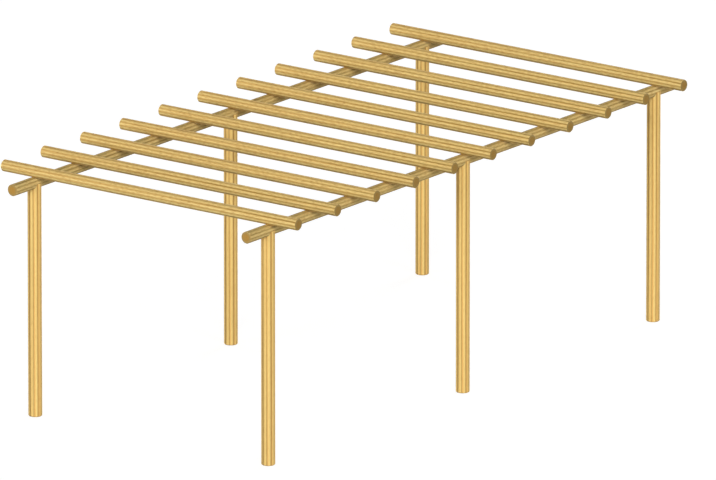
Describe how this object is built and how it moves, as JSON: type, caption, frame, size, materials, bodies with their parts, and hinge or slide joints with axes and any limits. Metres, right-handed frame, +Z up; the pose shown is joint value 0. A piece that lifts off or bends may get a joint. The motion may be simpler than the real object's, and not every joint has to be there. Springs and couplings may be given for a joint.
{
  "type": "wooden pergola",
  "caption": "Free-standing garden pergola of round timber poles: posts in two rows, long beams in coped saddles, and open rafters laid across them.",
  "frame": {"origin": "at ground level, in the middle of the frame between the two rows of posts", "axes": "+X along the beams, +Y along the rafters from the front row to the back row, +Z up"},
  "size_m": [6, 3.055, 2.1579],
  "materials": {
    "post_timber": "smooth turned pine, oiled",
    "beam_timber": "smooth turned pine, oiled",
    "rafter_timber": "smooth turned pine, oiled"
  },
  "bodies": {
    "root": {"post_front_1": "post_timber", "post_front_2": "post_timber", "post_front_3": "post_timber", "post_back_1": "post_timber", "post_back_2": "post_timber", "post_back_3": "post_timber", "beam_front": "beam_timber", "beam_back": "beam_timber", "rafter_01": "rafter_timber", "rafter_02": "rafter_timber", "rafter_03": "rafter_timber", "rafter_04": "rafter_timber", "rafter_05": "rafter_timber", "rafter_06": "rafter_timber", "rafter_07": "rafter_timber", "rafter_08": "rafter_timber", "rafter_09": "rafter_timber", "rafter_10": "rafter_timber", "rafter_11": "rafter_timber"}
  },
  "joints": []
}
